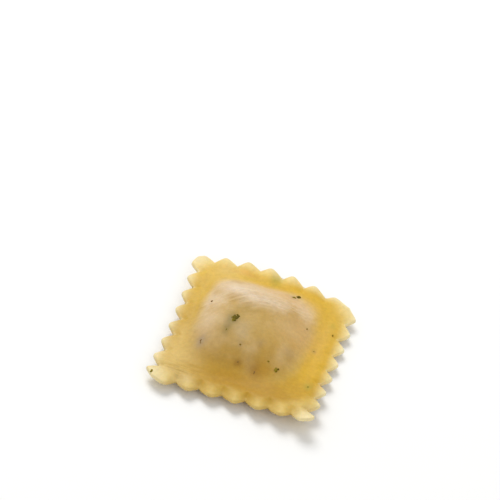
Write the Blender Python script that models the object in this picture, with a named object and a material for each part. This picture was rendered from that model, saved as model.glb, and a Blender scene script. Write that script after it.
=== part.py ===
"""A square raviolo: two sheets of egg dough, sealed round a soft filling and cut out with a fluted wheel.

For Blender 4.5, in metres with +Z up. The origin is on the surface that the raviolo rests on, under the
middle of its cut outline. X runs along the sides with seven teeth and Y along the sides with eight.
The dough is sealed all round and the filling doesn't show, so the whole piece is one closed solid.
"""

import math

import bmesh
import bpy

MM = 0.001

# The cut outline, seen from above
WIDTH = 39.0 * MM  # across the tooth tips, along X
DEPTH = 42.2 * MM  # across the tooth tips, along Y
TIP_ROUNDING = 0.30  # 0 gives pointed tips, larger gives rounder ones; notches stay sharp
CORNER_FULLNESS = 1.45  # 1 cuts a corner off straight, 2 rounds it as a quarter ellipse
STEPS_PER_TOOTH = 8  # both numbers of steps are even
STEPS_PER_CORNER = 6

# The sides in anticlockwise order: the way along, the number of teeth, where its first and last tips are
# from the side's middle, how far it stands out past the box at its start, middle and end, and how far its
# notches are in from its tips
FRONT = {"along": (1, 0), "teeth": 7, "tips": (-14.0 * MM, 16.6 * MM)}
RIGHT = {"along": (0, 1), "teeth": 8, "tips": (-19.9 * MM, 16.5 * MM)}
BACK = {"along": (-1, 0), "teeth": 7, "tips": (-13.9 * MM, 17.9 * MM)}
LEFT = {"along": (0, -1), "teeth": 8, "tips": (-18.8 * MM, 18.1 * MM)}
FRONT["stand_out"] = (0.1 * MM, -0.5 * MM, 0.8 * MM)
RIGHT["stand_out"] = (-0.8 * MM, -0.1 * MM, 0.2 * MM)
BACK["stand_out"] = (-2.2 * MM, 1.2 * MM, -0.3 * MM)
LEFT["stand_out"] = (0.4 * MM, -0.9 * MM, -0.4 * MM)
FRONT["tooth_height"] = BACK["tooth_height"] = 1.4 * MM
LEFT["tooth_height"] = RIGHT["tooth_height"] = 1.8 * MM
SIDES = (FRONT, RIGHT, BACK, LEFT)

# The sealed rim
DOUGH_THICKNESS = 1.35 * MM  # both sheets, pressed together
RIM_UNDERSIDE = 2.15 * MM  # height of the rim's lower face where it neither lifts nor droops
RIM_LIFT = (  # how far it lifts or droops, seen from above: back, middle and front, each from left to right
    (0.6 * MM, 1.5 * MM, -0.2 * MM),
    (-0.6 * MM, -0.7 * MM, -1.2 * MM),
    (0.1 * MM, -0.3 * MM, 2.0 * MM),
)
RUFFLE = 0.2 * MM  # how much higher the cut edge is at a tip than in a notch
RUFFLE_REACH = 4.5 * MM  # the ruffle is gone this far in from the edge
EDGE_PROFILE = (  # the rounded cut edge, from below: distance in from the edge, share of the thickness
    (0.50 * MM, 0.00),
    (0.10 * MM, 0.15),
    (0.00 * MM, 0.45),
    (0.15 * MM, 0.80),
    (0.70 * MM, 1.00),
)

# The pocket that holds the filling
POCKET_HALF_SIZES = (14.6 * MM, 16.0 * MM)
POCKET_CENTRE = (-0.5 * MM, 0.2 * MM)
POCKET_SQUARENESS = 3.8  # 2 is an ellipse, and higher is nearer to a rectangle
BASE_SHARE = 0.80  # of the pocket's radius: as far as this it rests flat
RIM_SHARE = 1.12  # of the pocket's radius: past this the lower face is the rim's
PILLOW_HEIGHT = 5.5 * MM  # top of the filling over the rim's upper face
PILLOW_PEAK = (-2.5 * MM, 3.5 * MM)  # the front slope is the longer and gentler one
PILLOW_SHOULDER = 2.8  # higher keeps the top flat for longer before it falls away
PILLOW_FOOT = 1.5  # over 1 runs out into the rim with a soft hollow
RIDGE_HEIGHT = 0.45 * MM  # fold of slack dough along the back of the pillow's top
RIDGE_PLACE = 6.7 * MM  # how far back its middle is
RIDGE_BEND = 0.035 / MM  # how sharply its ends bend back
RIDGE_HALF_WIDTH = 1.7 * MM

# Rings of the skin, with every second point left out at the pocket's foot and again at its crown
RIM_RINGS = (0.35, 0.62, 0.84)  # share of the way from the cut edge to the pocket's foot
UNDERSIDE_RINGS = (0.45, 0.80)  # share of the way from the cut edge to the flat base
POCKET_RINGS = (1.0, 0.93, 0.85, 0.76, 0.66)  # of the pocket's radius
CROWN_RINGS = (0.54, 0.40, 0.24, 0.10)

DOUGH_COLOUR = (0.80, 0.56, 0.22, 1.0)
DOUGH_ROUGHNESS = 0.42


def quadratic(first, middle, last, place):
    """The parabola through three values at -1, 0 and 1, read at place."""
    return middle + place * (last - first) / 2 + place**2 * ((first + last) / 2 - middle)


def smooth_step(value):
    value = min(max(value, 0.0), 1.0)
    return value * value * (3 - 2 * value)


def tooth_depth(phase):
    """0 at a tip and 1 in a notch, where phase counts teeth and a tip is a whole number."""
    from_tip = 2 * abs(phase - round(phase))
    full = math.hypot(1, TIP_ROUNDING) - TIP_ROUNDING
    return (math.hypot(from_tip, TIP_ROUNDING) - TIP_ROUNDING) / full


def side_point(side, along, depth):
    """The point at a place along a side, from the side's middle, and a depth in from its line of tips."""
    ax, ay = side["along"]
    half_along, half_across = (WIDTH / 2, DEPTH / 2) if ax else (DEPTH / 2, WIDTH / 2)
    out = half_across + quadratic(*side["stand_out"], along / half_along) - depth
    return ax * along + ay * out, ay * along - ax * out


def toothed_side(side):
    """Points of one side from its first tip up to, and not with, its last, each with its ruffle."""
    first, last = side["tips"]
    steps = (side["teeth"] - 1) * STEPS_PER_TOOTH
    for step in range(steps):
        depth = tooth_depth(step / STEPS_PER_TOOTH)
        x, y = side_point(side, first + (last - first) * step / steps, depth * side["tooth_height"])
        yield x, y, RUFFLE * (0.5 - depth)


def corner(side, following):
    """Points from a side's last tip up to, and not with, the next side's first: one full, untoothed curve."""
    x0, y0 = side_point(side, side["tips"][1], 0)
    x1, y1 = side_point(following, following["tips"][0], 0)
    power = 2 / CORNER_FULLNESS
    for step in range(STEPS_PER_CORNER):
        turn = math.radians(90) * step / STEPS_PER_CORNER
        early, late = math.sin(turn) ** power, 1 - math.cos(turn) ** power
        share_x, share_y = (early, late) if side["along"][0] else (late, early)
        yield x0 + (x1 - x0) * share_x, y0 + (y1 - y0) * share_y, RUFFLE / 2


def cut_outline():
    points = []
    for side, following in zip(SIDES, SIDES[1:] + SIDES[:1]):
        points += toothed_side(side)
        points += corner(side, following)
    return points


def pocket_radius(x, y):
    """0 at the pocket's middle and 1 at its foot, on rounded rectangles in between."""
    across, deep = (abs(p - c) / half for p, c, half in zip((x, y), POCKET_CENTRE, POCKET_HALF_SIZES))
    return (across**POCKET_SQUARENESS + deep**POCKET_SQUARENESS) ** (1 / POCKET_SQUARENESS)


def rim_lift(x, y):
    across, deep = x / (WIDTH / 2), y / (DEPTH / 2)
    back, middle, front = (quadratic(*row, across) for row in RIM_LIFT)
    return quadratic(front, middle, back, deep)


def underside(x, y):
    """Height of the lower face: flat on the table under the filling, then up to the rim."""
    rise = smooth_step((pocket_radius(x, y) - BASE_SHARE) / (RIM_SHARE - BASE_SHARE))
    return rise * (RIM_UNDERSIDE + rim_lift(x, y))


def pillow(x, y):
    """How far the filling raises the upper face over the rim's."""
    dome = 1.0
    for place, centre, half, peak in zip((x, y), POCKET_CENTRE, POCKET_HALF_SIZES, PILLOW_PEAK):
        foot = centre + math.copysign(half, place - peak)
        share = min((place - peak) / (foot - peak), 1.0)
        dome *= (1 - share**PILLOW_SHOULDER) ** PILLOW_FOOT
    from_ridge = (y - RIDGE_PLACE - RIDGE_BEND * x**2) / RIDGE_HALF_WIDTH
    return dome * (PILLOW_HEIGHT + RIDGE_HEIGHT * math.exp(-(from_ridge**2)))


def upper_face(x, y):
    return RIM_UNDERSIDE + rim_lift(x, y) + DOUGH_THICKNESS + pillow(x, y)


def between(x, y, share):
    """The point that share of the way from the pocket's middle to (x, y)."""
    return tuple(c + (p - c) * share for c, p in zip(POCKET_CENTRE, (x, y)))


def edge_ring(outline, inset, thickness_share):
    """One ring round the rounded cut edge."""
    ring = []
    for x, y, ruffle in outline:
        px, py = between(x, y, 1 - inset / math.dist((x, y), POCKET_CENTRE))
        ring.append((px, py, underside(px, py) + thickness_share * DOUGH_THICKNESS + ruffle))
    return ring


def rim_ring(outline, share, face, inner_radius):
    """One ring that share of the way from the cut edge to the inner radius, on the upper or lower face."""
    ring = []
    for x, y, ruffle in outline:
        inner = inner_radius / pocket_radius(x, y)
        px, py = between(x, y, 1 - share * (1 - inner))
        fade = max(1 - math.dist((x, y), (px, py)) / RUFFLE_REACH, 0) ** 2
        ring.append((px, py, face(px, py) + ruffle * fade))
    return ring


def pocket_ring(outline, radius):
    """One ring of the pillow, at that share of the pocket's radius."""
    ring = []
    for x, y, _ in outline:
        px, py = between(x, y, radius / pocket_radius(x, y))
        ring.append((px, py, upper_face(px, py)))
    return ring


def skin_rings():
    """All rings in order, from the edge of the flat base, round the cut edge, to the top of the pillow."""
    outline = cut_outline()
    rings = [rim_ring(outline, share, underside, BASE_SHARE) for share in (1.0, *reversed(UNDERSIDE_RINGS))]
    rings += [edge_ring(outline, inset, share) for inset, share in EDGE_PROFILE]
    rings += [rim_ring(outline, share, upper_face, 1.0) for share in RIM_RINGS]
    rings += [pocket_ring(outline[::2], radius) for radius in POCKET_RINGS]
    rings += [pocket_ring(outline[::4], radius) for radius in CROWN_RINGS]
    return rings


def bridge(bm, lower, upper):
    """Faces between two rings, of which the upper may have half as many points."""
    step = len(lower) // len(upper)
    for i in range(len(upper)):
        below = [lower[(i * step + k) % len(lower)] for k in range(step + 1)]
        bm.faces.new(below + [upper[(i + 1) % len(upper)], upper[i]])


def stand_on_origin(bm):
    """Puts the middle of the plan over the origin. The flat base is at Z = 0 as it was drawn."""
    xs = [vertex.co.x for vertex in bm.verts]
    ys = [vertex.co.y for vertex in bm.verts]
    shift = (-(min(xs) + max(xs)) / 2, -(min(ys) + max(ys)) / 2, 0)
    bmesh.ops.translate(bm, verts=bm.verts, vec=shift)


def build_ravioli():
    bm = bmesh.new()
    rings = [[bm.verts.new(point) for point in ring] for ring in skin_rings()]
    for lower, upper in zip(rings, rings[1:]):
        bridge(bm, lower, upper)
    bm.faces.new(rings[0])
    bm.faces.new(rings[-1])
    bmesh.ops.recalc_face_normals(bm, faces=bm.faces)
    bmesh.ops.triangulate(bm, faces=bm.faces)
    stand_on_origin(bm)
    mesh = bpy.data.meshes.new("ravioli")
    bm.to_mesh(mesh)
    bm.free()
    mesh.shade_smooth()
    mesh.set_sharp_from_angle(angle=math.radians(40))
    return bpy.data.objects.new("ravioli", mesh)


def dough_material():
    material = bpy.data.materials.new("egg dough")
    material.use_nodes = True
    shader = material.node_tree.nodes["Principled BSDF"]
    shader.inputs["Base Color"].default_value = DOUGH_COLOUR
    shader.inputs["Roughness"].default_value = DOUGH_ROUGHNESS
    shader.inputs["Metallic"].default_value = 0.0
    return material


def main():
    for old in list(bpy.data.objects):
        bpy.data.objects.remove(old)
    ravioli = build_ravioli()
    ravioli.data.materials.append(dough_material())
    bpy.context.scene.collection.objects.link(ravioli)


main()
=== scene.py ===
import math

import bpy
from mathutils import Matrix, Vector


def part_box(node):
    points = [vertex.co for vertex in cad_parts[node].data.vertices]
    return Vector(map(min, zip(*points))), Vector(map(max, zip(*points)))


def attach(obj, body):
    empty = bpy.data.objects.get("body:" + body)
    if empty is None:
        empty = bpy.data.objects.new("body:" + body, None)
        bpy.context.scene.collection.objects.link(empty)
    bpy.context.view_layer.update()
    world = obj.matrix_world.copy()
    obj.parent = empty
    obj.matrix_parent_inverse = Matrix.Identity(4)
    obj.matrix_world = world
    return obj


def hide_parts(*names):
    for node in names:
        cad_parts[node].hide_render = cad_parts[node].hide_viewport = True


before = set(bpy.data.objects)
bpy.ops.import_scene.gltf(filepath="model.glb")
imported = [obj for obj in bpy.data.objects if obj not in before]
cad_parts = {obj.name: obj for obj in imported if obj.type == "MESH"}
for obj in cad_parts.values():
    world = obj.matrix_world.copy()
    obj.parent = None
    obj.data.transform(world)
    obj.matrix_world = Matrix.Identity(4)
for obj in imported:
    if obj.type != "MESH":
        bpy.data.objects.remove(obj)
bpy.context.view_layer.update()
low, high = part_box("ravioli")
print("frame loaded")

mm = 0.001
rightAngle = math.pi / 2
fullTurn = math.pi * 2
nodesInRow = 20
nodeAcross = 180  # the editor's own units from node to node
nodeDown = 260


class wire:
    # an output socket; arithmetic on it adds Math nodes to its tree
    def __init__(self, maker, socket):
        self.maker = maker
        self.socket = socket

    def math(self, operation, *others):
        return self.maker.node("ShaderNodeMath", {"operation": operation}, [self, *others])

    def reflected(self, operation, other):
        return self.maker.node("ShaderNodeMath", {"operation": operation}, [other, self])

    def __add__(self, other):
        return self.math("ADD", other)

    def __radd__(self, other):
        return self.reflected("ADD", other)

    def __sub__(self, other):
        return self.math("SUBTRACT", other)

    def __rsub__(self, other):
        return self.reflected("SUBTRACT", other)

    def __mul__(self, other):
        return self.math("MULTIPLY", other)

    def __rmul__(self, other):
        return self.reflected("MULTIPLY", other)

    def __truediv__(self, other):
        return self.math("DIVIDE", other)

    def __rtruediv__(self, other):
        return self.reflected("DIVIDE", other)

    def __pow__(self, other):
        return self.math("POWER", other)

    def __abs__(self):
        return self.math("ABSOLUTE")


class treeMaker:
    # adds nodes to one tree, in rows so that the tree can be read in the editor
    def __init__(self, tree):
        self.tree = tree

    def node(self, kind, settings=None, values=(), out=0):
        made = self.tree.nodes.new(kind)
        count = len(self.tree.nodes)
        made.location = (nodeAcross * (count % nodesInRow), -nodeDown * (count // nodesInRow))
        for name, setting in (settings or {}).items():
            if name == "stops":
                self.setStops(made.color_ramp, setting)
            else:
                setattr(made, name, setting)
        pairs = values.items() if isinstance(values, dict) else enumerate(values)
        for key, value in pairs:
            if isinstance(value, wire):
                self.tree.links.new(value.socket, made.inputs[key])
            else:
                made.inputs[key].default_value = value
        return wire(self, made.outputs[out]) if made.outputs else made

    def setStops(self, ramp, stops):
        while len(ramp.elements) < len(stops):
            ramp.elements.new(1.0)
        for element, (position, colour) in zip(ramp.elements, stops):
            element.position = position
            element.color = colour

    def outputs(self, first):
        # every output of a node, from the wire of one of them
        return [wire(self, output) for output in first.socket.node.outputs]

    def split(self, vector):
        return self.outputs(self.node("ShaderNodeSeparateXYZ", {}, [vector]))

    def join(self, x, y, z):
        return self.node("ShaderNodeCombineXYZ", {}, [x, y, z])

    def vector(self, operation, first, second):
        return self.node("ShaderNodeVectorMath", {"operation": operation}, [first, second])

    def scaled(self, vector, scale):
        return self.node("ShaderNodeVectorMath", {"operation": "SCALE"}, {0: vector, "Scale": scale})

    def between(self, value, start, end, smooth=True):
        # 0 before start, 1 after end; start may be the larger
        settings = {"interpolation_type": "SMOOTHSTEP" if smooth else "LINEAR"}
        values = {"Value": value, "From Min": start, "From Max": end}
        return self.node("ShaderNodeMapRange", settings, values)

    def hump(self, *offsets):
        # a bell curve: 1 where every offset is 0, and nearly gone where one is 2
        total = sum(offset * offset for offset in offsets)
        return (total * -1).math("EXPONENT")

    def noise(self, vector, scale, detail, roughness=0.5, out=0):
        values = {"Vector": vector, "Scale": scale, "Detail": detail, "Roughness": roughness}
        return self.node("ShaderNodeTexNoise", {}, values, out)

    def wander(self, vector, scale, detail):
        # a noise of three parts, each with 0 in its middle
        return self.vector("SUBTRACT", self.noise(vector, scale, detail, out="Color"), (0.5, 0.5, 0.5))

    def mix(self, factor, first, second, blend="MIX"):
        settings = {"data_type": "RGBA", "blend_type": blend}
        return self.node("ShaderNodeMix", settings, {0: factor, 6: first, 7: second}, out=2)

    def attribute(self, name):
        # a mesh's attribute, as its material reads it
        return self.node("ShaderNodeAttribute", {"attribute_name": name}, out="Fac")

    def named(self, name, kind="FLOAT"):
        # the same, as a Geometry Nodes tree reads it
        return self.node("GeometryNodeInputNamedAttribute", {"data_type": kind}, {"Name": name})

    def store(self, geometry, name, value, kind="FLOAT"):
        settings = {"data_type": kind, "domain": "POINT"}
        values = {"Geometry": geometry, "Name": name, "Value": value}
        return self.node("GeometryNodeStoreNamedAttribute", settings, values)


def newGroup(name, inputs):
    # a Geometry Nodes tree with named number inputs, its maker and the wires of its inputs
    tree = bpy.data.node_groups.new(name, "GeometryNodeTree")
    tree.interface.new_socket("Geometry", in_out="OUTPUT", socket_type="NodeSocketGeometry")
    tree.interface.new_socket("Geometry", in_out="INPUT", socket_type="NodeSocketGeometry")
    for label, value in inputs.items():
        socket = tree.interface.new_socket(label, in_out="INPUT", socket_type="NodeSocketFloat")
        socket.default_value = value
    maker = treeMaker(tree)
    source = maker.node("NodeGroupInput")
    given = {output.socket.name: output for output in maker.outputs(source)}
    return maker, given


def finishTree(maker, geometry, material):
    real = maker.node("GeometryNodeRealizeInstances", {}, [geometry])
    smooth = maker.node("GeometryNodeSetShadeSmooth", {}, {"Geometry": real})
    coated = maker.node("GeometryNodeSetMaterial", {}, {"Geometry": smooth, "Material": material})
    maker.node("NodeGroupOutput", {}, [coated])


def plainMesh(name, tree, inputs, start=None):
    # runs a tree on a starting mesh and keeps its result as a mesh with no modifier
    holder = bpy.data.objects.new(name, start or bpy.data.meshes.new(name))
    bpy.context.scene.collection.objects.link(holder)
    modifier = holder.modifiers.new(name, "NODES")
    modifier.node_group = tree
    for item in tree.interface.items_tree:
        if item.in_out == "INPUT" and item.name in inputs:
            modifier[item.identifier] = inputs[item.name]
    evaluated = holder.evaluated_get(bpy.context.evaluated_depsgraph_get())
    mesh = bpy.data.meshes.new_from_object(evaluated)
    holder.modifiers.clear()
    holder.data = mesh
    mesh.name = name
    return holder


# the dough's shape, in millimetres, radians and shares; the sides go anticlockwise from the front
dough = {
    "cells": (192, 222),  # faces along X and along Y
    "edgeLines": 6,  # of those, the lines that go round the cut edge on each side
    "edgeTurn": 0.22,  # radians of that rounding that the side's own faces take
    "lowShare": 0.45,  # of the thickness, below the outermost line of the cut edge
    "inputs": {
        "Width": (high.x - low.x) / mm * 0.9914,  # over the line of tips, a little inside the box
        "Depth": (high.y - low.y) / mm * 0.96,
        "Pillow height": (high.z - low.z) / mm * 0.61,
        "Dough thickness": 1.7,
        "Edge thickness": 0.95,
        "Rim underside": 2.0,
        "Edge radius": 0.45,
        "Tooth height": 1.95,
        "Tip rounding": 0.20,
        "Ruffle": 0.2,
        "Flute depth": 0.42,
        "Edge droop": 0.28,
        "Ridge height": 0.62,
    },
    # along: the way that the side runs; tips: the places of its first and last tooth; standOut: how far
    # it bows out at its start, middle and end; lean: how far its notches lean on; the shares are of the
    # tooth height and of the flute depth
    "sides": (
        {"along": (1, 0), "teeth": 7, "tips": (-14.0, 16.6), "standOut": (0.1, -1.1, 0.6),
         "lean": 0.08, "toothShare": 0.92, "fluteShare": 1.0},
        {"along": (0, 1), "teeth": 8, "tips": (-19.9, 16.5), "standOut": (-0.8, -0.1, 0.2),
         "lean": 0.0, "toothShare": 1.0, "fluteShare": 0.45},
        {"along": (-1, 0), "teeth": 7, "tips": (-13.9, 17.9), "standOut": (-2.2, 1.2, -0.3),
         "lean": 0.08, "toothShare": 0.76, "fluteShare": 0.6},
        {"along": (0, -1), "teeth": 8, "tips": (-18.8, 18.1), "standOut": (0.4, -0.9, -0.4),
         "lean": 0.0, "toothShare": 1.0, "fluteShare": 0.3},
    ),
    "toothBulge": 1.08,  # above 1, a tooth's flanks are rounded and its notches sharp
    "toothWobble": 0.10,  # how unevenly deep the notches are
    "wobbleSteps": (2.3, 1.7),  # of that unevenness, in radians from tooth to tooth and from side to side
    "cornerPower": 1.5,
    "cornerShare": (0.62, 0.38),  # where the middle of a corner's curve lies between its two tips
    "thinReach": 4.0,  # the dough has its full thickness this far in
    "toothReach": 6.0,  # the teeth and corners are gone from the lines of the skin this far in
    "ruffleReach": 5.0,
    "fluteReach": 4.6,
    "droopReach": 2.4,  # the rim curls down this far in from its edge
    "droopFront": (4, -16),  # the Y that the curl starts at, and the Y that it is full at
    "lift": ((0.6, 1.5, -0.2), (-0.6, -0.7, -1.2), (0.1, -0.2, 2.3)),  # back, middle, front, left to right
    "pocketHalf": (14.6, 16.7),
    "pocketMiddle": (-0.4, 1.1),
    "pocketWarp": 1.6,  # how unevenly the filling has spread
    "warpNoise": (0.13, 1.0),  # the scale and detail of that
    "warpSlice": 7.0,  # the height in that noise that it is read at
    "pocketSquareness": 3.8,
    "peak": (-2.5, 3.5),
    "baseShare": 0.80,
    "rimShare": 1.12,
    "shoulder": 2.8,
    "foot": 1.9,
    "ridgeBack": 5.2,  # where the ridge crosses the middle line
    "ridgeBend": 0.042,  # how much it bends back at its ends
    "ridgeHalfWidth": 2.0,
    # soft humps and hollows: place, radius and height
    "lumps": (
        (-3.3, 1.6, 2.3, -0.60),
        (-1.9, -4.6, 1.8, 0.12),
        (-9.2, -2.6, 3.2, 0.45),
        (-6.5, -7.5, 2.4, -0.12),
        (5.5, -3.0, 4.0, 0.25),
        (1.5, -9.5, 3.0, -0.25),
        (14.0, 9.0, 3.0, 0.30),
        (8.0, -15.0, 3.0, 0.35),
        (15.0, -15.0, 2.6, 0.30),
        (-8.0, 18.0, 3.5, 0.25),
    ),
    # fine folds of slack dough: place, half length, half width, height and radians that they turn from X
    "wrinkles": (
        (-1.5, 7.0, 11.0, 2.8, 1.15, 0.30),
        (-13.5, -15.3, 5.0, 2.0, 1.2, -0.04),
        (13.0, -14.0, 5.0, 1.8, 0.25, 0.2),
        (12.0, 3.0, 2.5, 5.0, 0.15, 0.3),
    ),
    "wrinkleSize": (0.20, 1.45),  # of their noise along and across the folds
    "wrinkleDetail": 1.5,
}
deepInside = 100  # millimetres, further in than any point of the skin


def quadratic(values, place):
    # the parabola through three values at -1, 0 and 1
    first, middle, last = values
    return middle + place * ((last - first) / 2) + place * place * ((first + last) / 2 - middle)


def halfSizes(side):
    halfWidth = dough["inputs"]["Width"] / 2
    halfDepth = dough["inputs"]["Depth"] / 2
    return (halfWidth, halfDepth) if side["along"][0] else (halfDepth, halfWidth)


def sidePoint(side, place):
    alongX, alongY = side["along"]
    halfAlong, halfAcross = halfSizes(side)
    out = halfAcross + quadratic(side["standOut"], place / halfAlong)
    return Vector((alongX * place + alongY * out, alongY * place - alongX * out))


def cornerPoint(side, following):
    # the middle of the curve from a side's last tip to the next side's first
    start = sidePoint(side, side["tips"][1])
    end = sidePoint(following, following["tips"][0])
    early, late = dough["cornerShare"]
    shares = (early, late) if side["along"][0] else (late, early)
    return Vector(s + (e - s) * share for s, e, share in zip(start, end, shares))


def cornerDepths(index):
    # how far in from a side's own line the outline's corners are, at its start and its end
    sides = dough["sides"]
    side = sides[index]
    alongX, alongY = side["along"]
    outward = Vector((alongY, -alongX))
    before = cornerPoint(sides[index - 1], side)
    after = cornerPoint(side, sides[(index + 1) % len(sides)])
    halfAcross = halfSizes(side)[1]
    atStart = halfAcross + side["standOut"][0] - before.dot(outward)
    atEnd = halfAcross + side["standOut"][2] - after.dot(outward)
    return atStart, atEnd


def addPhase(side, place):
    # counts a side's teeth: a whole number at each tip, and a half more at each notch
    first, last = side["tips"]
    pitch = (last - first) / (side["teeth"] - 1)
    return ((place - first) / pitch).math("MAXIMUM", 0).math("MINIMUM", side["teeth"] - 1)


def addTooth(given, index, phase):
    # how far in from the line of tips the cut goes
    side = dough["sides"][index]
    toothStep, sideStep = dough["wobbleSteps"]
    wobble = (phase * toothStep + index * sideStep).math("SINE")
    skewed = phase + (1 - (phase * fullTurn).math("COSINE")) * (side["lean"] / 2)
    fromTip = abs(skewed - (skewed + 0.5).math("FLOOR")) * 2
    rounding = given["Tip rounding"]
    full = (rounding * rounding + 1).math("SQRT") - rounding
    bite = ((fromTip * fromTip + rounding * rounding).math("SQRT") - rounding) / full
    bite = bite ** dough["toothBulge"]
    return bite * given["Tooth height"] * (1 + wobble * dough["toothWobble"]) * side["toothShare"]


def addCorners(index, place):
    # how far the outline falls away before a side's first tip and after its last
    side = dough["sides"][index]
    first, last = side["tips"]
    halfAlong = halfSizes(side)[0]
    atStart, atEnd = cornerDepths(index)
    pastStart = ((first - place) / (first + halfAlong)).math("MAXIMUM", 0) ** dough["cornerPower"]
    pastEnd = ((place - last) / (halfAlong - last)).math("MAXIMUM", 0) ** dough["cornerPower"]
    return pastStart * atStart + pastEnd * atEnd


def addPinking(m, given, x, y):
    # the plan moves of every side's teeth, bow and corners, the lift of its ruffles, the hollows
    # that run in from its notches and how far in each point is from the line of its tips
    moveX, moveY, ruffle, flute, fromTips = 0, 0, 0, 0, deepInside
    for index, side in enumerate(dough["sides"]):
        alongX, alongY = side["along"]
        halfAlong, halfAcross = halfSizes(side)
        place = x * alongX if alongX else y * alongY
        inward = halfAcross - (x * alongY if alongY else y * -alongX)
        phase = addPhase(side, place)
        tooth = addTooth(given, index, phase)
        near = m.between(inward, dough["toothReach"], 0)
        out = (quadratic(side["standOut"], place / halfAlong) - tooth - addCorners(index, place)) * near
        if alongY:
            moveX = moveX + out * alongY
        else:
            moveY = moveY - out * alongX
        fromTips = (inward + tooth * near).math("MINIMUM", fromTips)

        wave = (phase * fullTurn).math("COSINE")
        nearEdge = m.between(inward, dough["ruffleReach"], 0, smooth=False) ** 2
        ruffle = ruffle + wave * nearEdge / 2
        fading = m.between(inward, dough["fluteReach"], 0, smooth=False)
        flute = flute + (1 - wave) * fading * (side["fluteShare"] / 2)
    return x + moveX, y + moveY, ruffle * given["Ruffle"], flute, fromTips


def addLift(placeX, placeY):
    # how far the rim lifts or droops
    backLift, middleLift, frontLift = [quadratic(row, placeX) for row in dough["lift"]]
    return quadratic((frontLift, middleLift, backLift), placeY)


def addPillow(m, x, y):
    # 0 to 1 from the pocket's middle to its foot, and the dome over it, whose peak is off the middle
    strayX, strayY = m.split(m.wander(m.join(x, y, dough["warpSlice"]), *dough["warpNoise"]))[:2]
    warped = (x + strayX * dough["pocketWarp"], y + strayY * dough["pocketWarp"])
    total, dome = 0, 1
    power = dough["pocketSquareness"]
    for value, half, middle, peak in zip(warped, dough["pocketHalf"], dough["pocketMiddle"], dough["peak"]):
        total = total + abs((value - middle) / half) ** power
        ahead = (value - peak) / (middle + half - peak)
        behind = (value - peak) / (middle - half - peak)
        share = ahead.math("MAXIMUM", behind).math("MINIMUM", 1)
        dome = (1 - share ** dough["shoulder"]) ** dough["foot"] * dome
    return total ** (1 / power), dome


def behindRidge(x, y):
    # how far a point is behind the line of the ridge, the slack dough along the back of the pillow's top
    return y - (x * x * dough["ridgeBend"] + dough["ridgeBack"])


def addLumps(m, x, y):
    total = 0
    for lumpX, lumpY, radius, height in dough["lumps"]:
        total = total + m.hump((x - lumpX) / radius, (y - lumpY) / radius) * height
    return total


def addWrinkles(m, x, y):
    sizeAlong, sizeAcross = dough["wrinkleSize"]
    total = 0
    for patchX, patchY, halfLength, halfWidth, height, turn in dough["wrinkles"]:
        offX, offY = x - patchX, y - patchY
        along = offX * math.cos(turn) + offY * math.sin(turn)
        across = offY * math.cos(turn) - offX * math.sin(turn)
        # each patch reads the noise at its own height
        spot = m.join(along * sizeAlong, across * sizeAcross, patchX)
        folds = m.noise(spot, 1.0, dough["wrinkleDetail"]) - 0.5
        total = total + folds * m.hump(along / halfLength, across / halfWidth) * height
    return total


def addFaces(m, given, x, y, fromEdge, flute):
    # the heights of the lower and upper face, and the pocket and dome that shape them
    lift = addLift(x / (given["Width"] / 2), y / (given["Depth"] / 2))
    thinning = given["Dough thickness"] - given["Edge thickness"]
    thinning = thinning * m.between(fromEdge, dough["thinReach"], 0)
    rimLow = given["Rim underside"] + lift + thinning / 2
    pocket, dome = addPillow(m, x, y)
    ridge = m.hump(behindRidge(x, y) / dough["ridgeHalfWidth"]) * given["Ridge height"]
    lower = m.between(pocket, dough["baseShare"], dough["rimShare"]) * rimLow
    upper = rimLow + given["Dough thickness"] - thinning + dome * (given["Pillow height"] + ridge)
    upper = upper + addLumps(m, x, y) + addWrinkles(m, x, y) - flute * given["Flute depth"]
    return lower, upper, pocket, dome


def edgeAngle(w, turned):
    # the angle round the cut edge, down or up from its middle line
    return w * (turned * (rightAngle - dough["edgeTurn"]) + dough["edgeTurn"])


def roundedLine(given, share, w, cells, half):
    # from the box's own -1 to 1 to millimetres, with the outer lines gathered on the rounded edge, how
    # much of the edge's turn is done and how far in the line is
    lines = dough["edgeLines"]
    radius = given["Edge radius"]
    linesIn = (1 - abs(share)) * (cells / 2)
    turned = (linesIn / lines).math("MINIMUM", 1)
    spacing = (half - radius) / (cells / 2 - lines)
    arc = 1 - edgeAngle(w, turned).math("COSINE")
    inset = radius * arc + (linesIn - lines).math("MAXIMUM", 0) * spacing
    return share.math("SIGN") * (half - inset), turned, inset


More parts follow.
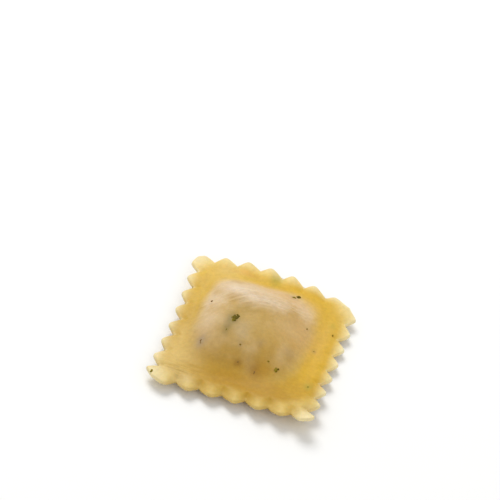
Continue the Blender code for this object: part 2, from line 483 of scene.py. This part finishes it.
def buildDoughTree(material):
    m, given = newGroup("pinkedParcel", dough["inputs"])
    cellsX, cellsY = dough["cells"]
    # three points high: the lower face, the middle of the cut edge and the upper face
    counts = {"Size": (2, 2, 2), "Vertices X": cellsX + 1, "Vertices Y": cellsY + 1, "Vertices Z": 3}
    box = m.node("GeometryNodeMeshCube", {}, counts, out="Mesh")
    u, v, w = m.split(m.node("GeometryNodeInputPosition"))
    x, turnedX, insetX = roundedLine(given, u, w, cellsX, given["Width"] / 2)
    y, turnedY, insetY = roundedLine(given, v, w, cellsY, given["Depth"] / 2)
    x, y, ruffle, flute, fromTips = addPinking(m, given, x, y)
    fromEdge = insetX.math("MINIMUM", insetY)
    lower, upper, pocket, dome = addFaces(m, given, x, y, fromEdge, flute)

    # the share of the thickness that a point stands at: 0 on the lower face and 1 on the upper
    rise = edgeAngle(w, turnedX.math("MINIMUM", turnedY)).math("SINE")
    lowShare = dough["lowShare"]
    share = lowShare + rise.math("MAXIMUM", 0) * (1 - lowShare) + rise.math("MINIMUM", 0) * lowShare
    curl = m.between(fromEdge, dough["droopReach"], 0, smooth=False) ** 2
    curl = curl * m.between(y, *dough["droopFront"]) * given["Edge droop"]
    z = lower + share * (upper - lower) + ruffle - curl

    # stored before the points move, because each is worked out from the box's own positions
    stored = {"fromEdge": fromEdge, "fromTips": fromTips, "pocket": pocket, "dome": dome, "flute": flute}
    for name, value in stored.items():
        box = m.store(box, name, value)
    place = m.join(x * mm, y * mm, z * mm)
    placed = m.node("GeometryNodeSetPosition", {}, {"Geometry": box, "Position": place})
    finishTree(m, placed, material)
    return m.tree


doughLook = {
    "subsurface": 0.10,
    "subsurfaceRadius": (1.0, 0.5, 0.15),
    "subsurfaceScale": 0.8 * mm,
    "specular": 0.22,
    "roughness": 0.48,
    "roughnessUneven": 0.2,
    "crestSmoother": 0.16,
    "bump": 0.40,
    "bumpHeight": 0.1 * mm,
    # scale, detail and roughness of each noise, over millimetres
    "noises": {
        "broad": (0.22, 2.0, 0.5),
        "fine": (1.3, 3.0, 0.5),
        "blotch": (0.24, 1.0, 0.5),
        "mottle": (1.1, 3.0, 0.6),
        "grain": (3.0, 4.0, 0.6),
    },
    # how a tone comes in across the dough: how much X, Y and the broad and fine noise count, and the two
    # values in millimetres, at which it starts and is full
    "reaches": {
        "backYellow": (0, 1, 8, 0, -12, 8),
        "hollowShadeYellow": (0.6, 0.8, 12, 0, -9, 7),
        "hollowShadeRight": (1, 0, 0, 0, -9, 2),
        "fluteShadeFront": (0, 1, 0, 0, 2, -14),
        "fillingPale": (-0.25, 0.9, 8, 3, 1.5, 8.0),
        "fillingFront": (0.15, 1, 8, 0, -1.0, -11.0),
        "crestHighlightLeft": (1, 0, 0, 0, 8, -1),
        "rimBackHighlight": (0, 1, 0, 0, 10, 16),
        "rimBehindFront": (0, 1, 0, 0, -19.5, -15),
        "rimRight": (1, 0, 0, 0, 12, 19),
        "rimBehindCorner": (0, 1, 0, 0, -19, -10),
    },
    # how strong a tone is where its reach hasn't started, and where it is full
    "strengths": {
        "hollowShade": (0.55, 0.85),
        "crestHighlight": (0.15, 0.55),
        "rim": (0.5, 0.85),
        "rimFront": (0.2, 1.0),
        "cream": (0.8, 0.96),
    },
    "creamSpeckle": (0.3, 0.02),  # how much it follows the fine noise, and how much there is anyway
    "hollowShadeInner": (0.70, 0.92),  # shares of the pocket's size that the hollow starts and is full at
    "hollowShadeOuter": (1.14, 0.98),
    "hollowShadeWiden": 0.010,  # of that size, how much further out it goes for each millimetre of X
    "fluteShadeStrength": 0.25,
    "tanAndShadeStrength": 0.9,
    "blotchDark": 1.6,  # how much stronger its dark blotches are than its pale ones
    "fillingDome": (0.0, 0.34),  # heights of the dome, as shares, that the filling starts and is full at
    "fillingUneven": 0.03,
    "fillingStrength": 0.95,
    "crestBehind": 0.8,  # how far behind the ridge's line its pale top is
    "crestHalfWidth": 2.2,
    "crestDome": (0.3, 0.8),
    "tipReach": (3.3, 0.2),  # in from the tips, where the pale tone starts and is full
    "tipPower": 1.8,
    "tipUneven": 1.5,
    "edgeReach": (0.9, 0.2),  # the same, in from the cut edge
    "cornerReach": (1.5, 1.85),  # the sum of a point's shares of half the width and half the depth
    "mottle": 0.34,  # how much lighter and darker the mottling is
    # streaks along the ridge and folds: how far the noise runs along them for each millimetre of X and Y,
    # and across them, then how much they lighten and darken the colour, as painted light and shade on the
    # folds, and how deep they are in the grain
    "streaks": {
        "crestHighlight": (0.4, 0.15, -1.05, 3.0, 0.42, 4.5),
        "folds": (0.3, 0.0, 0.1, 2.6, 0.42, 7.0),
    },
    "streakDetail": 2.0,
    "folds": (-13.0, -15.2, 5.0, 1.8),  # the place and half sizes of the folds by the front left corner
    "tones": {
        "yellow": (0.74, 0.51, 0.11, 1),
        "yellowShadedFront": (0.62, 0.42, 0.09, 1),
        "hollowShadeYellow": (0.64, 0.38, 0.02, 1),
        "golden": (0.44, 0.235, 0.010, 1),
        "straw": (0.68, 0.48, 0.155, 1),
        "cream": (0.86, 0.745, 0.43, 1),
        "filling": (0.52, 0.335, 0.105, 1),
        "fillingPale": (0.68, 0.51, 0.31, 1),
        "crestHighlight": (0.76, 0.62, 0.47, 1),
        "tan": (0.40, 0.235, 0.040, 1),
        "herb": (0.17, 0.14, 0.045, 1),
        "olive": (0.42, 0.33, 0.04, 1),
        "grey": (0.27, 0.19, 0.12, 1),
        "smudge": (0.26, 0.13, 0.022, 1),
        "veil": (0.45, 0.325, 0.15, 1),
        "shade": (0.44, 0.28, 0.06, 1),
        "rose": (0.66, 0.40, 0.14, 1),
        "peach": (0.82, 0.45, 0.12, 1),
    },
    # soft-edged spots, from herbs under the surface and from uneven filling, and some of painted light and
    # shade: the shade-toned spots and the broad golden one along the front foot of the pillow are painted
    # shade, and the broad pale one on the pillow's left flank is painted light; place in millimetres,
    # radius, stretch along Y, tone and strength
    "spots": (
        (-4.9, -1.5, 1.5, 1.4, "herb", 0.75),
        (-5.6, -2.0, 2.0, 1.6, "herb", 0.22),
        (-5.6, -4.6, 0.9, 1.9, "herb", 0.42),
        (5.2, 13.6, 1.1, 1.0, "grey", 0.45),
        (-10.0, -7.9, 0.95, 1.8, "grey", 0.90),
        (3.5, -11.5, 1.7, 1.1, "smudge", 1.0),
        (4.9, -10.9, 1.9, 1.2, "golden", 0.60),
        (-0.8, -11.0, 0.85, 1.0, "smudge", 0.80),
        # painted shade along the front foot of the pillow
        (-1.0, -14.8, 8.5, 0.40, "golden", 0.88),
        (-11.0, 17.3, 3.0, 0.8, "straw", 0.60),
        (-15.5, -13.0, 4.8, 1.0, "straw", 0.80),
        (-17.0, -18.5, 3.4, 0.8, "cream", 0.40),
        (-10.5, -18.6, 2.6, 0.8, "cream", 0.28),
        (-6.8, 17.9, 2.2, 0.45, "peach", 0.40),
        # painted shade behind the pillow
        (-5.2, 17.3, 2.6, 0.45, "shade", 0.22),
        (-6.5, -9.5, 3.0, 0.9, "tan", 0.45),
        (17.6, 17.2, 3.2, 1.0, "cream", 0.20),
        # painted shade on the pillow's front slope
        (-0.3, -2.2, 3.8, 0.8, "shade", 0.62),
        (-14.5, -6.0, 2.6, 1.8, "straw", 0.50),
        (3.0, 12.5, 6.5, 0.42, "rose", 0.55),
        (10.0, 3.0, 4.5, 1.2, "rose", 0.50),
        (6.3, 1.8, 2.6, 1.0, "fillingPale", 0.22),
        (10.2, 5.8, 3.4, 0.9, "fillingPale", 0.14),
        (15.4, 9.5, 2.2, 1.4, "cream", 0.06),
        (8.7, -4.1, 1.1, 1.4, "grey", 0.30),
        (2.5, -5.6, 0.9, 1.2, "grey", 0.25),
        (-1.5, -7.3, 0.6, 1.2, "grey", 0.30),
        (13.5, 1.5, 0.6, 1.2, "grey", 0.30),
        (15.2, 11.0, 0.8, 1.2, "olive", 0.35),
        (15.0, -10.4, 0.9, 1.3, "olive", 0.70),
        (-0.1, 18.8, 1.4, 1.6, "olive", 0.75),
        (-2.1, -4.0, 1.8, 1.7, "veil", 0.60),
        # painted light on the pillow's left flank
        (-10.0, -2.4, 2.5, 1.9, "fillingPale", 0.70),
        # painted shade in the dip in front of the ridge
        (-2.8, 1.8, 4.0, 0.55, "shade", 0.65),
    ),
}
tones = doughLook["tones"]


def newMaterial(name):
    material = bpy.data.materials.new(name)
    material.use_nodes = True
    shader = material.node_tree.nodes["Principled BSDF"]
    return material, treeMaker(material.node_tree), shader


def setSockets(maker, shader, values):
    for name, value in values.items():
        if isinstance(value, wire):
            maker.tree.links.new(value.socket, shader.inputs[name])
        else:
            shader.inputs[name].default_value = value


def inMillimetres(m):
    coords = m.node("ShaderNodeTexCoord", {}, out="Object")
    return m.scaled(coords, 1 / mm)


class doughPlace:
    # what the dough's colours follow at each point: its place, its noises and the skin's attributes
    def __init__(self, m):
        self.m = m
        self.point = inMillimetres(m)
        self.x, self.y, self.z = m.split(self.point)
        self.broad = self.noise("broad")
        self.fine = self.noise("fine")
        self.dome = m.attribute("dome")

    def noise(self, name):
        return self.m.noise(self.point, *doughLook["noises"][name]) - 0.5

    def reach(self, name):
        *shares, start, end = doughLook["reaches"][name]
        parts = zip((self.x, self.y, self.broad, self.fine), shares)
        value = sum(part * share for part, share in parts if share)
        return self.m.between(value, start, end)


def strength(name, mask):
    # the weakest value where the mask is 0, and the strongest where it is 1
    weakest, strongest = doughLook["strengths"][name]
    return mask * (strongest - weakest) + weakest


def sealedColour(m, at):
    # the dough is yellow where it is sealed, with painted shade that makes it darker toward the front,
    # deeper round the foot of the pillow and deeper in the flutes
    # darker yellow toward the front, painted shade away from the light at the back
    yellow = m.mix(at.reach("backYellow"), tones["yellowShadedFront"], tones["yellow"])
    follow, always = doughLook["creamSpeckle"]
    yellow = m.mix(at.fine * follow + always, yellow, tones["cream"])

    pocket = m.attribute("pocket")
    # painted shade round the pillow's foot, stronger on the right, golden on the front and left and deep
    # yellow on the back and right
    inner = m.between(pocket, *doughLook["hollowShadeInner"])
    outer = m.between(pocket - abs(at.x) * doughLook["hollowShadeWiden"], *doughLook["hollowShadeOuter"])
    hollowShade = inner * outer * strength("hollowShade", at.reach("hollowShadeRight"))
    hollowShadeColour = m.mix(at.reach("hollowShadeYellow"), tones["golden"], tones["hollowShadeYellow"])
    yellow = m.mix(hollowShade, yellow, hollowShadeColour)

    # painted shade in the flutes, along the front
    fluteShade = m.attribute("flute") * at.reach("fluteShadeFront") * doughLook["fluteShadeStrength"]
    return m.mix(fluteShade, yellow, tones["golden"])


def fillingColour(m, at):
    # the filling shows through: pale along the back and left of the pillow, partly its own colour and
    # partly painted light, and tan in front, partly its own colour and partly painted shade
    colour = m.mix(at.reach("fillingPale"), tones["filling"], tones["fillingPale"])
    colour = m.mix(at.reach("fillingFront") * doughLook["tanAndShadeStrength"], colour, tones["tan"])
    blotch = at.noise("blotch")
    colour = m.mix(blotch.math("MAXIMUM", 0), colour, tones["fillingPale"])
    return m.mix((blotch * -doughLook["blotchDark"]).math("MAXIMUM", 0), colour, tones["golden"])


def crestHighlightMask(m, at):
    # the painted highlight along the top of the ridge
    off = (behindRidge(at.x, at.y) - doughLook["crestBehind"]) / doughLook["crestHalfWidth"]
    return m.hump(off) * m.between(at.dome, *doughLook["crestDome"])


def foldMask(m, at):
    # the fine folds by the front left corner
    foldX, foldY, halfLength, halfWidth = doughLook["folds"]
    return m.hump((at.x - foldX) / halfLength, (at.y - foldY) / halfWidth)


def addSpots(m, at, colour):
    for spotX, spotY, radius, stretch, tone, most in doughLook["spots"]:
        spot = m.hump((at.x - spotX) / radius, (at.y - spotY) / (radius * stretch))
        colour = m.mix(spot * most, colour, tones[tone])
    return colour


def paleMask(m, at):
    # the cut edge is cream, most of all at the corners, and least along the front; along the back it is
    # brighter still, a painted highlight where the edge catches the light
    fromTips = m.attribute("fromTips") + at.broad * doughLook["tipUneven"]
    tips = m.between(fromTips, *doughLook["tipReach"], smooth=False) ** doughLook["tipPower"]
    rim = m.between(m.attribute("fromEdge"), *doughLook["edgeReach"])
    # brighter along the back, painted highlight
    rim = rim * strength("rim", at.reach("rimBackHighlight"))
    pale = tips.math("MAXIMUM", rim) * strength("rimFront", at.reach("rimBehindFront"))
    outwards = abs(at.x) / (high.x / mm) + abs(at.y) / (high.y / mm)
    pale = pale.math("MAXIMUM", m.between(outwards, *doughLook["cornerReach"]))
    return pale * strength("cream", at.reach("rimRight") * at.reach("rimBehindCorner"))


def addStreaks(m, at, name, mask):
    # how the streaks in the mask lighten and darken the colour as painted light and shade, and their relief
    alongX, alongY, acrossX, acrossY, shade, relief = doughLook["streaks"][name]
    spot = m.join(at.x * alongX + at.y * alongY, at.y * acrossY + at.x * acrossX, at.z)
    streaks = m.noise(spot, 1.0, doughLook["streakDetail"])
    return (streaks - 0.5) * mask * shade, streaks * mask * relief


def doughMaterial():
    material, m, shader = newMaterial("eggDough")
    at = doughPlace(m)
    filled = m.between(at.dome + at.fine * doughLook["fillingUneven"], *doughLook["fillingDome"])
    filled = filled * doughLook["fillingStrength"]
    colour = m.mix(filled, sealedColour(m, at), fillingColour(m, at))
    crestHighlight = crestHighlightMask(m, at)
    # painted highlight along the ridge, strongest on its left
    colour = m.mix(crestHighlight * strength("crestHighlight", at.reach("crestHighlightLeft")), colour, tones["crestHighlight"])
    colour = addSpots(m, at, colour)
    colour = m.mix(paleMask(m, at), colour, tones["cream"])

    # mottled and grainy all over, with fine streaks whose lighter and darker colour is painted light and
    # shade, and a little more shine along the ridge
    crestShade, crestRelief = addStreaks(m, at, "crestHighlight", crestHighlight)
    foldShade, foldRelief = addStreaks(m, at, "folds", foldMask(m, at))
    shade = at.noise("mottle") * doughLook["mottle"] + 1.0 + crestShade + foldShade
    colour = m.mix(1.0, colour, shade, "MULTIPLY")
    grain = at.noise("grain") + crestRelief + foldRelief
    bump = {"Strength": doughLook["bump"], "Distance": doughLook["bumpHeight"], "Height": grain}
    uneven = at.fine * doughLook["roughnessUneven"] - crestHighlight * doughLook["crestSmoother"]
    setSockets(m, shader, {
        "Base Color": colour,
        "Roughness": uneven + doughLook["roughness"],
        "Normal": m.node("ShaderNodeBump", {}, bump),
        "Subsurface Weight": doughLook["subsurface"],
        "Subsurface Radius": doughLook["subsurfaceRadius"],
        "Subsurface Scale": doughLook["subsurfaceScale"],
        "Specular IOR Level": doughLook["specular"],
    })
    return material


# bits of herb that lie in the dough's surface, at true size in millimetres
herbs = {
    "inputs": {"Thickness": 0.50, "Unevenness": 0.78, "Grain size": 0.36},
    "above": 20,  # the height that each fleck is dropped from
    "levels": 4,  # of subdivision in each fleck, enough for its torn outline
    "tearDetail": 2.0,
    "dark": (0.115, 0.085, 0.008, 1),
    "olive": (0.27, 0.20, 0.012, 1),
    "brown": (0.22, 0.115, 0.04, 1),
    "mottleNoise": (2.5, 2.0),
    "mottle": 0.35,
    "roughness": 0.7,
    "specular": 0.1,
    # each fleck's place, length, width, turn in degrees, shade (0 dark green, 0.5 olive, 1 brown) and how
    # deep it is sunk
    "flecks": (
        (-4.7, -1.3, 2.3, 0.8, 100, 0.10, 0.07),
        (-4.25, -0.8, 1.7, 0.6, 72, 0.00, 0.04),
        (-4.95, -2.0, 1.1, 0.5, 112, 0.32, 0.12),
        (-4.35, -0.1, 0.8, 0.5, 120, 0.05, 0.05),
        (-5.3, -1.2, 0.6, 0.4, 40, 0.30, 0.10),
        (-5.5, -4.7, 1.0, 0.35, 80, 0.35, 0.19),
        (6.1, 14.9, 1.1, 0.8, 60, 0.02, 0.00),
        (5.2, 13.9, 1.1, 0.5, 20, 0.30, 0.08),
        (-10.05, -8.1, 2.0, 0.8, 84, 0.85, 0.21),
        (7.4, -9.6, 1.1, 0.7, 100, 0.40, 0.00),
        (7.8, -9.2, 0.6, 0.4, 30, 0.10, 0.00),
        (3.2, -11.7, 1.0, 0.5, 80, 0.95, 0.18),
        (-0.8, -10.8, 0.5, 0.4, 40, 0.90, 0.15),
        (5.3, -8.5, 0.45, 0.35, 0, 0.55, 0.04),
        (10.4, 5.7, 0.40, 0.30, 45, 0.70, 0.02),
        (16.0, 8.4, 0.55, 0.35, 90, 0.30, 0.02),
        (-11.3, 4.7, 0.60, 0.35, 20, 0.90, 0.06),
        (-1.5, -7.3, 0.40, 0.30, 0, 0.75, 0.06),
        (-17.4, -19.2, 0.9, 0.5, 80, 0.42, 0.02),
        (13.4, 1.5, 0.30, 0.20, 0, 0.70, 0.14),
        (15.0, -10.4, 0.5, 0.35, 30, 0.50, 0.10),
    ),
}


def dropOnto(m, doughSkin):
    # the point and normal of the dough straight below each point
    x, y = m.split(m.node("GeometryNodeInputPosition"))[:2]
    skin = m.node("GeometryNodeObjectInfo", {}, {"Object": doughSkin}, out="Geometry")
    hit = m.node("GeometryNodeRaycast", {}, {
        "Target Geometry": skin,
        "Source Position": m.join(x, y, herbs["above"] * mm),
        "Ray Direction": (0, 0, -1),
        "Ray Length": 2 * herbs["above"] * mm,
    }, out="Hit Position")
    return hit, wire(m, hit.socket.node.outputs["Hit Normal"])


def tearOutlines(m, given, geometry):
    # noise moves the points of each fleck, by more where the fleck is wider
    spot = m.scaled(m.node("GeometryNodeInputPosition"), 1 / (given["Grain size"] * mm))
    stray = m.wander(spot, 1.0, herbs["tearDetail"])
    stray = m.scaled(stray, m.named("width") * given["Unevenness"] * mm)
    return m.node("GeometryNodeSetPosition", {}, {"Geometry": geometry, "Offset": stray})


def buildHerbTree(doughSkin, material):
    m, given = newGroup("scatteredHerbs", herbs["inputs"])
    hit, normal = dropOnto(m, doughSkin)
    place = m.vector("ADD", hit, m.scaled(normal, m.named("sunk") * -mm))
    upright = m.node("FunctionNodeAlignRotationToVector", {"axis": "Z"}, {"Vector": normal})
    turn = {"Axis": (0, 0, 1), "Angle": m.named("turn")}
    turned = m.node("FunctionNodeAxisAngleToRotation", {}, turn)
    rotation = m.node("FunctionNodeRotateRotation", {"rotation_space": "LOCAL"}, [upright, turned])
    size = m.join(m.named("length") * (mm / 2), m.named("width") * (mm / 2), given["Thickness"] * (mm / 2))

    # stored before the points move, so that size, turn and place come from the same drop
    sown = m.store(given["Geometry"], "size", size, "FLOAT_VECTOR")
    sown = m.store(sown, "rotation", rotation, "QUATERNION")
    sown = m.node("GeometryNodeSetPosition", {}, {"Geometry": sown, "Position": place})
    ball = {"Radius": 1.0, "Subdivisions": herbs["levels"]}
    scattered = m.node("GeometryNodeInstanceOnPoints", {}, {
        "Points": sown,
        "Instance": m.node("GeometryNodeMeshIcoSphere", {}, ball, out="Mesh"),
        "Rotation": m.named("rotation", "QUATERNION"),
        "Scale": m.named("size", "FLOAT_VECTOR"),
    })
    real = m.node("GeometryNodeRealizeInstances", {}, [scattered])
    finishTree(m, tearOutlines(m, given, real), material)
    return m.tree


def herbMaterial():
    material, m, shader = newMaterial("greenHerb")
    mottle = m.noise(inMillimetres(m), *herbs["mottleNoise"]) - 0.5
    stops = [(0.0, herbs["dark"]), (0.5, herbs["olive"]), (1.0, herbs["brown"])]
    shade = m.attribute("shade") + mottle * herbs["mottle"]
    setSockets(m, shader, {
        "Base Color": m.node("ShaderNodeValToRGB", {"stops": stops}, [shade]),
        "Roughness": herbs["roughness"],
        "Specular IOR Level": herbs["specular"],
    })
    return material


def makeHerbs(doughSkin):
    x, y, length, width, degrees, shade, sunk = zip(*herbs["flecks"])
    mesh = bpy.data.meshes.new("herbPoints")
    mesh.from_pydata([(placeX * mm, placeY * mm, 0) for placeX, placeY in zip(x, y)], [], [])
    turn = [math.radians(value) for value in degrees]
    columns = {"length": length, "width": width, "turn": turn, "shade": shade, "sunk": sunk}
    for name, values in columns.items():
        mesh.attributes.new(name, "FLOAT", "POINT").data.foreach_set("value", values)
    return plainMesh("herbFlecks", buildHerbTree(doughSkin, herbMaterial()), herbs["inputs"], mesh)


def makeDough():
    doughSkin = plainMesh("doughSkin", buildDoughTree(doughMaterial()), dough["inputs"])
    # its mesh moves, not its object, so that its plan has the same middle as the CAD box
    points = [vertex.co for vertex in doughSkin.data.vertices]
    middle = [(min(p[i] for p in points) + max(p[i] for p in points)) / 2 for i in (0, 1)]
    wanted = (low + high) / 2
    doughSkin.data.transform(Matrix.Translation((wanted.x - middle[0], wanted.y - middle[1], low.z)))
    return doughSkin


# the studio's sizes and places, in metres, and its lights, in watts
studio = {
    "floorSize": 3.0,
    "floorColour": (0.92, 0.92, 0.91, 1),
    "floorRoughness": 0.8,
    "floorSpecular": 0.1,
    "worldColour": (1.0, 1.0, 1.0, 1),
    "worldStrength": 0.6,
    "keyPower": 3.2,
    "keySize": 0.45,
    "keyPlace": (-0.25, 0.35, 0.62),
    "fillPower": 1.1,
    "fillSize": 0.6,
    "fillPlace": (0.4, -0.5, 0.5),
}

# the camera, in degrees and metres round the middle of the base
view = {
    "azimuth": 8.1,
    "elevation": 42.6,
    "roll": 11.05,
    "tiltUp": 2.73,
    "panLeft": 0.048,
    "distance": 0.45,
    "lens": 147.6,  # millimetres
    "nearest": 0.01,  # nothing closer than this is drawn
}


def makeFloor():
    size = studio["floorSize"] / 2
    mesh = bpy.data.meshes.new("floor")
    corners = [(-size, -size, low.z), (size, -size, low.z), (size, size, low.z), (-size, size, low.z)]
    mesh.from_pydata(corners, [], [(0, 1, 2, 3)])
    floor = bpy.data.objects.new("floor", mesh)
    bpy.context.scene.collection.objects.link(floor)
    material, m, shader = newMaterial("paleFloor")
    setSockets(m, shader, {
        "Base Color": studio["floorColour"],
        "Roughness": studio["floorRoughness"],
        "Specular IOR Level": studio["floorSpecular"],
    })
    mesh.materials.append(material)


def makeLight(name):
    lamp = bpy.data.lights.new(name, "AREA")
    lamp.shape = "DISK"
    lamp.size = studio[name + "Size"]
    lamp.energy = studio[name + "Power"]
    light = bpy.data.objects.new(name, lamp)
    place = Vector(studio[name + "Place"])
    light.location = place
    light.rotation_euler = (-place).to_track_quat("-Z", "Y").to_euler()
    bpy.context.scene.collection.objects.link(light)


def makeWorld():
    world = bpy.data.worlds.new("studio")
    world.use_nodes = True
    background = world.node_tree.nodes["Background"]
    background.inputs["Color"].default_value = studio["worldColour"]
    background.inputs["Strength"].default_value = studio["worldStrength"]
    bpy.context.scene.world = world
    bpy.context.scene.view_settings.view_transform = "Standard"


def makeCamera():
    azimuth, elevation = math.radians(view["azimuth"]), math.radians(view["elevation"])
    flat = math.cos(elevation)
    away = Vector((math.sin(azimuth) * flat, -math.cos(azimuth) * flat, math.sin(elevation)))
    camera = bpy.data.objects.new("camera", bpy.data.cameras.new("camera"))
    camera.data.lens = view["lens"]
    camera.data.clip_start = view["nearest"]
    facing = away.to_track_quat("Z", "Y").to_matrix().to_4x4()
    roll = Matrix.Rotation(math.radians(view["roll"]), 4, "Z")
    tilt = Matrix.Rotation(math.radians(view["tiltUp"]), 4, "X")
    pan = Matrix.Rotation(math.radians(view["panLeft"]), 4, "Y")
    middle = (low + high) / 2
    place = Vector((middle.x, middle.y, low.z)) + away * view["distance"]
    camera.matrix_world = Matrix.Translation(place) @ facing @ roll @ tilt @ pan
    bpy.context.scene.collection.objects.link(camera)
    bpy.context.scene.camera = camera


def main():
    makeWorld()
    makeFloor()
    makeLight("key")
    makeLight("fill")
    makeCamera()
    print("studio ready")

    doughSkin = makeDough()
    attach(doughSkin, "root")
    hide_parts("ravioli")
    print("dough made:", len(doughSkin.data.polygons), "faces")

    herbFlecks = makeHerbs(doughSkin)
    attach(herbFlecks, "root")
    print("herbs laid:", len(herbs["flecks"]))


main()
